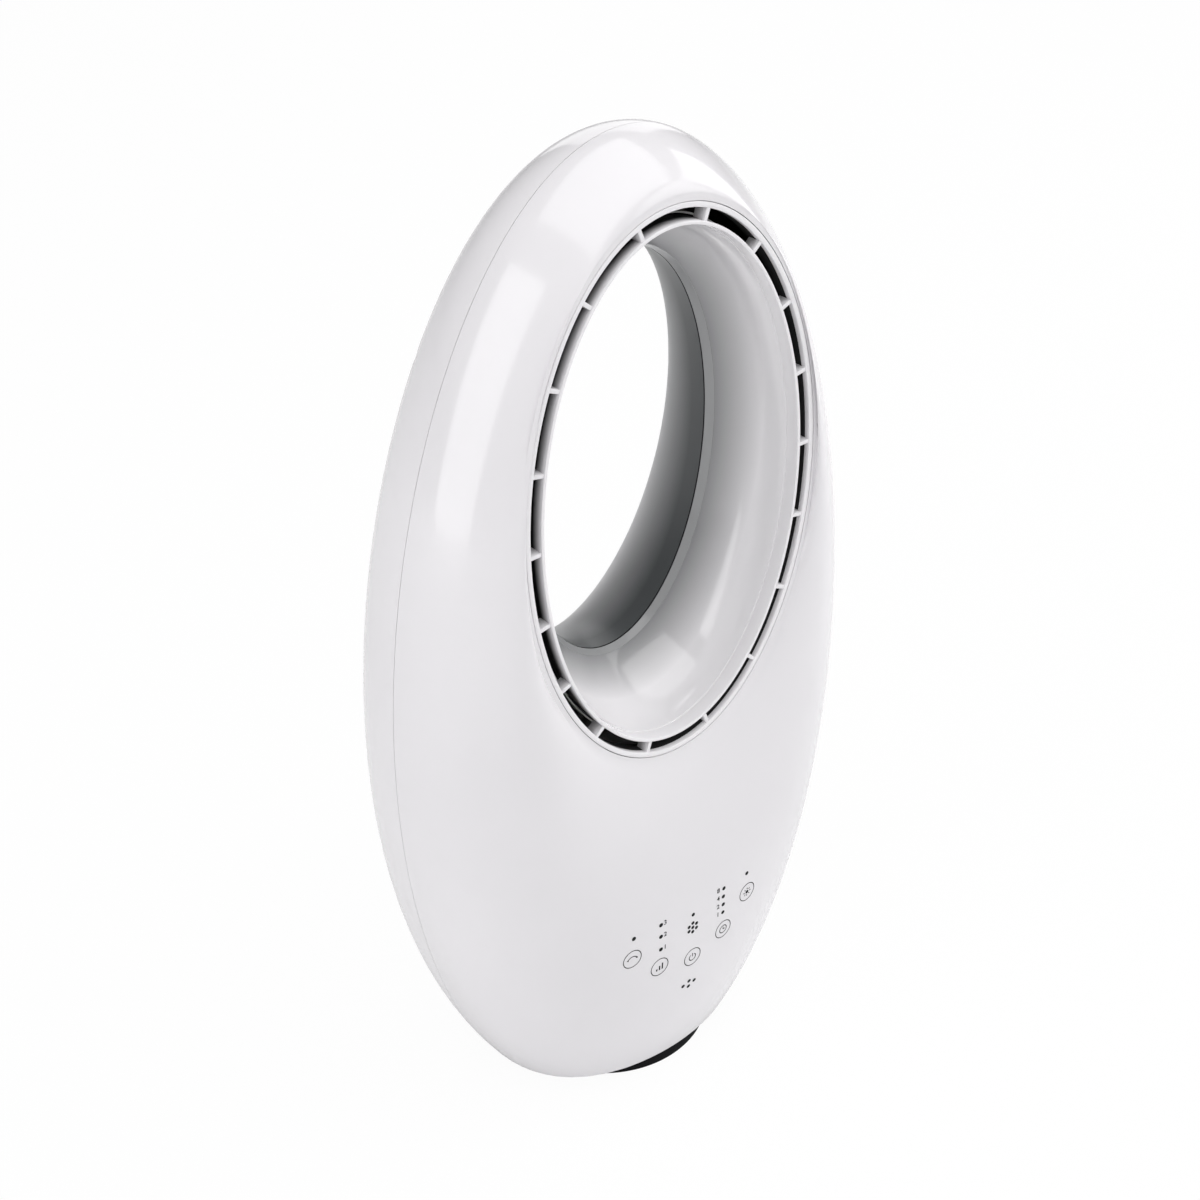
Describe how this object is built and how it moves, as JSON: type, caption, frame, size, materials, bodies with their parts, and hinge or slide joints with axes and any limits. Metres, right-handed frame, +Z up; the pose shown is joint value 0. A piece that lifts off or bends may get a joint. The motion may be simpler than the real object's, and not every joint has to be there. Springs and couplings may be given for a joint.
{
  "type": "bladeless fan",
  "caption": "Egg-shaped bladeless table fan: air from a hidden blower leaves through a slit ring around an oval tunnel, and the body swings on a round foot.",
  "frame": {"origin": "on the floor, on the vertical axis about which the body swings on its foot", "axes": "+Z up; the control panel and the front of the outlet ring face -Y; +X is to the right as seen from the front"},
  "size_m": [0.2754, 0.145, 0.54],
  "materials": {
    "shell_white": "gloss white ABS",
    "inner_plastic": "moulded, matt",
    "foot_black": "moulded, satin black",
    "acetal": "natural acetal",
    "rubber_black": "matt black",
    "seal_grey": "dark grey foam",
    "steel": "zinc-plated",
    "iron": "raw",
    "copper_wire": "enamelled copper wire",
    "impeller_grey": "moulded, matt grey",
    "board_green": "circuit board",
    "component_black": "moulded black",
    "led_clear": "clear",
    "diffuser": "frosted",
    "filter_fabric": "open foam and mesh"
  },
  "bodies": {
    "base": {"base_shell": "foot_black", "base_plate": "foot_black", "rubber_feet": "rubber_black", "base_weight": "iron", "base_screws": "steel", "glide_ring": "acetal", "swing_gear": "acetal", "gear_screws": "steel"},
    "head": {"front_shell": "shell_white", "rear_shell": "shell_white", "outlet_ring": "shell_white", "nozzle_funnel": "shell_white", "intake_grille": "shell_white", "head_floor": "inner_plastic", "chamber_floor": "inner_plastic", "blower_housing_front": "inner_plastic", "blower_housing_rear": "inner_plastic", "turret_bush": "acetal", "motor_grommets": "rubber_black", "duct_seal": "rubber_black", "outlet_gasket": "seal_grey", "touch_pads": "seal_grey", "floor_screws": "steel", "housing_screws": "steel", "motor_screws": "steel", "board_screws": "steel", "shell_screws": "steel", "swing_motor_screws": "steel", "motor_mount": "steel", "motor_can": "steel", "motor_end_cap": "steel", "motor_bearings": "steel", "motor_stator": "steel", "swing_motor": "steel", "motor_coils": "copper_wire", "control_board": "board_green", "power_board": "board_green", "ir_receiver": "component_black", "buzzer": "component_black", "filter_choke": "component_black", "capacitors": "component_black", "dc_inlet": "component_black", "indicator_leds": "led_clear", "light_strip": "diffuser", "dust_filter": "filter_fabric"},
    "impeller": {"impeller": "impeller_grey", "impeller_nut": "steel", "motor_shaft": "steel", "motor_rotor": "steel"},
    "swing_pinion": {"swing_pinion": "acetal", "swing_motor_shaft": "steel"}
  },
  "joints": [
    {"name": "swing", "type": "hinge", "parent": "base", "child": "head", "pos_m": [0, 0, 0.012], "axis": [0, 0, 1], "range_deg": [-40, 40]},
    {"name": "impeller_spin", "type": "hinge", "parent": "head", "child": "impeller", "pos_m": [0, 0, 0.124], "axis": [0, 1, 0], "continuous": true},
    {"name": "swing_pinion_spin", "type": "hinge", "parent": "head", "child": "swing_pinion", "pos_m": [0.033, 0, 0.0195], "axis": [0, 0, 1], "range_deg": [-110, 110]}
  ],
  "couplings": [
    {"joint": "swing_pinion_spin", "follows": "swing", "ratio": 2.6667}
  ]
}
